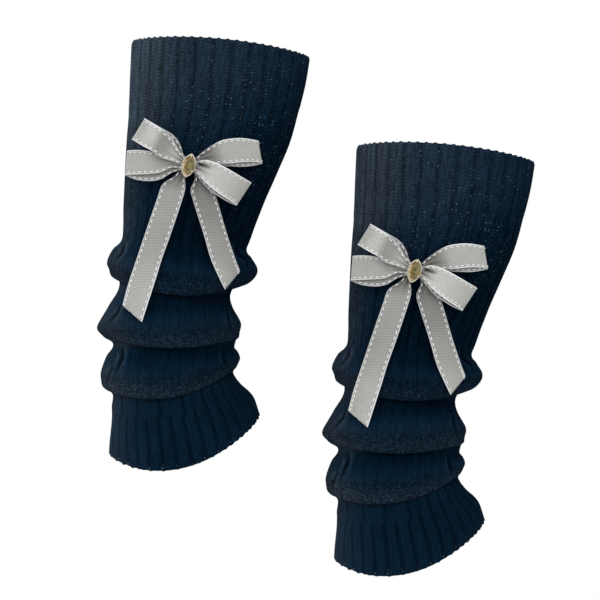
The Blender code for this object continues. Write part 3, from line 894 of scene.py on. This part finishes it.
class Ribbon:
    """A ribbon through rows of three points: its middle surface, and what is laid on it."""

    def __init__(self, rows, closed):
        self.rows, self.closed = rows, closed
        last = len(rows) if closed else len(rows) - 1
        self.fine = np.linspace(0, last, 40 * last + 1)
        middle = rows_at(rows, self.fine, closed)[:, 1]
        steps = np.linalg.norm(np.diff(middle, axis=0), axis=-1)
        self.lengths = np.concatenate(([0.0], np.cumsum(steps)))
        self.length = self.lengths[-1]

    def at(self, length, across):
        """Points, ways along and ways out at some lengths (rows) and shares across (columns)."""
        step = 0.15
        here = self.surface(length, across)
        ahead = unit(self.surface(length + step, across) - self.surface(length - step, across))
        aside = unit(self.surface(length, across + 0.01) - self.surface(length, across - 0.01))
        return here, ahead, unit(np.cross(aside, ahead))

    def surface(self, length, across):
        """The middle surface, pleated where it is gathered under the stone."""
        length = length % self.length if self.closed else np.clip(length, 0, self.length)
        along = np.interp(length, self.lengths, self.fine)
        rows = np.moveaxis(rows_at(self.rows, along, self.closed), 1, 0)
        upper, middle, lower = rows[:, :, None, :]
        share = across[None, :, None]
        points = middle + (lower - upper) / 2 * share + ((upper + lower) / 2 - middle) * share**2
        points[..., 1] -= PLEAT_DEEP * hill(from_knot(points), PLEAT_REACH) * pleats(across)
        return points

    def piece(self, name, material, light, frayed=False):
        """The ribbon with its thickness, painted light and shade along it as the rows of a table
        say.
        """
        turns = np.linspace(0, 2 * pi, 45)
        across = -np.cos(turns)
        thicker = soft((np.abs(across) - SELVEDGE_FROM) / 0.08)
        thick = RIBBON_THICK / 2 + (SELVEDGE_THICK - RIBBON_THICK) / 2 * thicker
        lift = np.clip(np.sin(turns) * 3.2, -1, 1) * thick
        length = np.linspace(0, self.length, int(round(self.length)) + 1)
        here, ahead, out = self.at(length, across)
        points = here + out * lift[None, :, None]
        if frayed:
            points[-1] += ahead[-1] * (FRAY * np.sin(np.arange(len(across)) * 2.4))[:, None]
        uvs = np.stack(np.broadcast_arrays(length[:, None], across[None, :]), axis=-1)
        along = np.interp(length, self.lengths, self.fine)
        # Painted shade in the pleats' valleys near the knot
        valleys = 0.5 - 0.5 * pleats(across)
        pleat_shade = hill(from_knot(points), PLEAT_SHADE_REACH) * (0.10 + 0.78 * valleys**3)
        light = np.interp(along, *zip(*light))[:, None] * (1 - pleat_shade) * (1 - painted_crease_shade(points))
        shut = not self.closed
        return bent_grid(name, points, "weave", uvs, {"light": light}, material, shut)

    def turns_sharply(self, length):
        """Whether a dash of thread would stick out, at the end of a loop."""
        ends = length + np.array((-DASH_LONG, DASH_LONG)) / 2
        before, after = self.at(ends, np.zeros(1))[1][:, 0]
        return before @ after < 0.7

    def stitching(self, name, material):
        """White dashes of thread, along both edges and on both faces."""
        count = int(self.length / DASH_PITCH)
        length = (np.arange(count) + 0.5) * self.length / count
        here, ahead, out = self.at(length, np.array((-SEAM_AT, SEAM_AT)))
        sewn = [i for i in range(count) if not self.turns_sharply(length[i])]
        threads = bmesh.new()
        for i, j, face in product(sewn, (0, 1), (1, -1)):
            way, up = ahead[i, j], out[i, j] * face
            aside = np.cross(way, out[i, j])
            dash = Matrix.Identity(4)
            axes = (aside * DASH_HALF_WIDE, up * DASH_HALF_HIGH, way * DASH_LONG / 2)
            for k, axis in enumerate(axes):
                dash.col[k][:3] = axis * MM
            dash.translation = (here[i, j] + up * (RIBBON_THICK / 2 + DASH_OFF)) * MM
            bmesh.ops.create_uvsphere(threads, u_segments=6, v_segments=5, radius=1.0, matrix=dash)
        bmesh.ops.recalc_face_normals(threads, faces=threads.faces[:])
        return finished(name, threads, material)


def set_point(across, along, off):
    """A point of the setting: across and along its outline, and off the leg."""
    x = across * cos(STONE_LEAN) + along * sin(STONE_LEAN)
    z = along * cos(STONE_LEAN) - across * sin(STONE_LEAN)
    y = -off
    turned_x = x * cos(STONE_YAW) - y * sin(STONE_YAW)
    turned_y = x * sin(STONE_YAW) + y * cos(STONE_YAW)
    return np.array((KNOT[0] + turned_x, skin_y(*KNOT, HUG_LEFT) + turned_y, KNOT[1] + z))


def marquise(turn, share, inset=0.0):
    """Across and along the stone's pointed outline, a full turn being 1."""
    side = 1 if turn % 1 < 0.5 else -1
    s = side * (1 - 4 * (turn % 0.5))
    across = side * (SETTING_WIDE / 2 * share - inset) * (1 - abs(s) ** 2.5)
    return across, s * (SETTING_LONG / 2 * share - inset * SETTING_LONG / SETTING_WIDE)


def setting(name, material):
    """A marquise cup with a rolled rim, its floor hidden by the stone, and six claws."""
    # share of the full outline, how far inside that, and how far off the leg
    profile = (
        (SETTING_BASE, 0.9, SETTING_OFF),
        (SETTING_BASE, 0.0, SETTING_OFF + 0.1),
        (0.93, 0.0, RIM_OFF - 1.2),
        (0.985, 0.0, RIM_OFF - 0.6),
        (1.0, -0.05, RIM_OFF - 0.25),
        (1.0, 0.05, RIM_OFF),
        (1.0, 0.35, RIM_OFF + 0.12),
        (1.0, 0.70, RIM_OFF - 0.05),
        (1.0, 0.80, RIM_OFF - 0.5),
        (SETTING_BASE, 0.80, SETTING_OFF + 1.2),
        (SETTING_BASE, 2.2, SETTING_OFF + 1.2),
    )
    turns = np.linspace(0, 1, 65)
    points = np.array([
        [set_point(*marquise(turn, share, inset), off) for turn in turns]
        for share, inset, off in profile
    ])
    uvs = np.stack(np.meshgrid(turns, np.linspace(0, 1, len(profile))), axis=-1)
    cup = bent_grid(name, points, "rim", uvs, {}, material, shut=True)
    claws = bmesh.new()
    claws.from_mesh(cup.data)
    for turn in CLAWS:
        outer = set_point(*marquise(turn, 1.0, CLAW_FROM), RIM_OFF)
        inner = set_point(*marquise(turn, 1.0, CLAW_TO), RIM_OFF + CLAW_RISE)
        way = inner - outer
        turned = Vector(way).to_track_quat("Z", "Y").to_matrix().to_4x4()
        size = Matrix.Diagonal((CLAW_THICK, CLAW_THICK, np.linalg.norm(way) / 2 + 0.30, 1.0))
        place = Matrix.Translation(Vector((outer + inner) / 2) * MM)
        bmesh.ops.create_icosphere(claws, subdivisions=2, radius=MM, matrix=place @ turned @ size)
    for face in claws.faces:
        face.smooth = True
    claws.to_mesh(cup.data)
    claws.free()
    return cup


def stone(name, material):
    """A cut stone: table, crown, girdle and the pavilion inside the cup."""
    # corners round, shift by a share of a corner, share of the full outline, how far inside that,
    # and how far off the leg
    rings = (
        (16, 0.5, 0.40, 0.0, SETTING_OFF + 1.7),
        (16, 0.0, 1.0, 0.88, RIM_OFF - 0.1),
        (16, 0.0, 1.0, 0.88, RIM_OFF + 0.15),
        (16, 0.5, 0.80, 0.2, RIM_OFF + 1.1),
        (8, 0.0, TABLE_SHARE, 0.0, RIM_OFF + STONE_RISE),
    )
    cut = bmesh.new()
    for count, shift, share, inset, off in rings:
        for k in range(count):
            across, along = marquise((k + shift) / count, share, inset)
            aside = TABLE_ASIDE * (off > RIM_OFF + 1)
            cut.verts.new(set_point(across + aside, along, off) * MM)
    hull = bmesh.ops.convex_hull(cut, input=cut.verts[:])
    inside = {v for v in hull["geom_interior"] if isinstance(v, bmesh.types.BMVert)}
    bmesh.ops.delete(cut, geom=list(inside), context="VERTS")
    flat = radians(1.5)
    bmesh.ops.dissolve_limit(cut, angle_limit=flat, verts=cut.verts[:], edges=cut.edges[:])
    rounding = {"offset": STONE_EDGE * MM, "affect": "EDGES", "segments": 1, "profile": 0.5}
    bmesh.ops.bevel(cut, geom=cut.edges[:], material=-1, **rounding)
    bmesh.ops.recalc_face_normals(cut, faces=cut.faces[:])
    to_left = cut.verts.layers.float.new("to_left")
    for vert in cut.verts:
        x, z = vert.co.x / MM - KNOT[0] - STONE_X, vert.co.z / MM - KNOT[1]
        vert[to_left] = (z * sin(STONE_LEAN) - x * cos(STONE_LEAN)) / (SETTING_WIDE / 2)
    return finished(name, cut, material, smooth=False)


def knitted_pieces(knit):
    tubes = {
        "top_rib": tube_shape(0, RIB_END, RIBS, RIB_TURN, top_relief, TOP_ROWS),
        "cabled_leg": tube_shape(RIB_END, LEG_END, RIBS, RIB_TURN, leg_relief, LEG_ROWS),
        "hem_rib": tube_shape(LEG_END, HEM_END, HEM_RIBS, 0.0, hem_relief, HEM_ROWS),
    }
    return {
        name: bent_grid(f"knit_{name}", points, "stitches", stitches, shading, knit)
        for name, (points, stitches, shading) in tubes.items()
    }


def moved_copy(piece, name):
    """The same piece on the right cuff."""
    mesh = piece.data.copy()
    mesh.name = name
    mesh.transform(Matrix.Translation(Vector(RIGHT_CUFF_AT) * MM))
    return placed(name, mesh)


# How each knitted tube is held on the leg, and a material name for each kind of piece
HELD = {"top_rib": "stretched", "cabled_leg": "gathered", "hem_rib": "gathered"}
SLOTS = {**dict.fromkeys(HELD, "navy_knit"), "setting": "gold_setting", "stone": "champagne_stone"}
# Painted light and shade on each ribbon at some of its rows: lighter at the turns as painted
# highlights, darker behind, near the knot and where one loop shades another, as painted shade. A
# band's rows run over its front from the left end (0) to the right end (11), round the turn (12)
# and back behind (13 to 24) to the left turn (25).
BEHIND = ((11.3, 1.50), (12, 1.50), (13, 0.78), (18, 0.66), (24, 0.74), (25, 1.50), (25.7, 1.50))
RIBBON_LIGHT = {
    "rising_loops": (
        (0, 1.02), (1, 0.93), (3, 0.86), (4, 0.94), (5, 1.10), (6, 0.56), (7, 0.46), (7.6, 0.50),
        (8.2, 0.72), (8.8, 0.98), (10, 1.06), (11, 1.12), *BEHIND, (26, 1.02),
    ),
    "falling_loops": (
        (0, 0.92), (0.4, 0.98), (1, 1.34), (1.6, 1.14), (2.3, 0.62), (3, 0.67), (3.6, 0.93),
        (4.3, 1.20), (5, 0.92), (6, 1.00), (7, 1.12), (8.1, 1.60), (8.9, 1.40), (9.6, 1.16),
        (11, 0.94), *BEHIND, (26, 0.92),
    ),
    "tail_left": (
        (0, 0.36), (1, 0.44), (2, 0.62), (2.6, 0.76), (3, 0.74), (4, 0.72), (5, 0.79), (6, 0.94),
        (7, 0.97),
    ),
    "tail_right": (
        (0, 0.36), (1, 0.42), (2, 0.45), (3, 0.50), (3.5, 0.56), (4, 0.68), (5, 0.80), (6, 0.92),
        (7, 0.96),
    ),
}


def dress():
    """Make every piece of the left cuff and copy it to the right one."""
    knit, ribbon, thread = knitted_wool(), grosgrain(), white_thread()
    gold, champagne = pale_gold(), champagne_stone()
    pieces = knitted_pieces(knit)
    ribbons = {
        "rising_loops": Ribbon(band_rows(LOWER_LEFT, UPPER_RIGHT), True),
        "falling_loops": Ribbon(band_rows(UPPER_LEFT, LOWER_RIGHT), True),
        "tail_left": Ribbon(tail_rows(TAIL_LEFT), False),
        "tail_right": Ribbon(tail_rows(TAIL_RIGHT), False),
    }
    threads = {}
    for name, shape in ribbons.items():
        pieces[name] = shape.piece(name, ribbon, RIBBON_LIGHT[name], frayed=name == "tail_left")
        threads[name] = shape.stitching(f"{name}_stitches", thread)
    pieces["setting"] = setting("setting", gold)
    pieces["stone"] = stone("stone", champagne)
    for name, piece in pieces.items():
        stitches = threads.get(name)
        right = moved_copy(piece, f"right_dressed_{name}")
        right_stitches = stitches and moved_copy(stitches, f"right_{name}_stitches")
        piece.name = f"left_dressed_{name}"
        if stitches:
            stitches.name = f"left_{name}_stitches"
        place_on_frame("left", name, piece, stitches)
        place_on_frame("right", name, right, right_stitches)


def place_on_frame(side, name, piece, stitches):
    """Hang a piece and its stitches from the root, and hide the solid that it replaces."""
    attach(piece, "root")
    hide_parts(f"{side}_{name}")
    if stitches:
        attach(stitches, "root")


def floor():
    """A round pale floor, below what the camera sees."""
    radius, height = 0.42, -0.40
    shape = bmesh.new()
    bmesh.ops.create_circle(shape, cap_ends=True, segments=96, radius=radius)
    bmesh.ops.translate(shape, vec=(0.057, 0.0, height), verts=shape.verts[:])
    piece = finished("floor", shape, pale_floor(), smooth=False)


def light():
    """A soft key from the front and weaker light from both sides and behind, in a white room."""
    for name, strength, way, spread in (
        ("key", 1.35, (0.12, 0.90, -0.42), 40),
        ("left", 0.8, (0.85, 0.10, -0.55), 50),
        ("right", 0.7, (-0.55, 0.80, -0.25), 60),
        ("rear", 0.9, (0.25, -0.90, -0.35), 60),
    ):
        lamp = bpy.data.lights.new(name, "SUN")
        lamp.energy, lamp.angle = strength, radians(spread)
        item = placed(name, lamp)
        item.rotation_mode = "QUATERNION"
        item.rotation_quaternion = Vector(way).to_track_quat("-Z", "Y")
    world = bpy.data.worlds.new("white_room")
    world.use_nodes = True
    nodes, links = world.node_tree.nodes, world.node_tree.links
    # The camera sees the room white, and half of that lights the cuffs
    seen = nodes.new("ShaderNodeLightPath")
    glow = nodes.new("ShaderNodeMapRange")
    glow.inputs["To Min"].default_value = 0.50
    links.new(seen.outputs["Is Camera Ray"], glow.inputs["Value"])
    background = nodes["Background"]
    background.inputs["Color"].default_value = rgb(1.0, 1.0, 1.0)
    links.new(glow.outputs["Result"], background.inputs["Strength"])
    bpy.context.scene.world = world
    bpy.context.scene.view_settings.view_transform = "Standard"


def camera():
    """A level view along +Y from far off."""
    data = bpy.data.cameras.new("camera")
    distance, width_seen = 16.0, 0.420
    middle_x, middle_z = 0.05705, -0.1568
    data.sensor_width = 36.0
    data.lens = data.sensor_width * distance / width_seen
    data.clip_start, data.clip_end = 0.1, 50.0
    item = placed("camera", data)
    item.location = (middle_x, -distance, middle_z)
    item.rotation_euler = (pi / 2, 0.0, 0.0)
    bpy.context.scene.camera = item


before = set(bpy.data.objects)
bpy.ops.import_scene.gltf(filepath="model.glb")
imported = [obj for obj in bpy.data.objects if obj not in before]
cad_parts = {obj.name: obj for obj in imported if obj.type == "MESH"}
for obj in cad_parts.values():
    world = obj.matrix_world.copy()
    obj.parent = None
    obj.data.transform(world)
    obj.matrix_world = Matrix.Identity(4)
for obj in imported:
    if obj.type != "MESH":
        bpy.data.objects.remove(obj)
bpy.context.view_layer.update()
camera()
dress()
floor()
light()
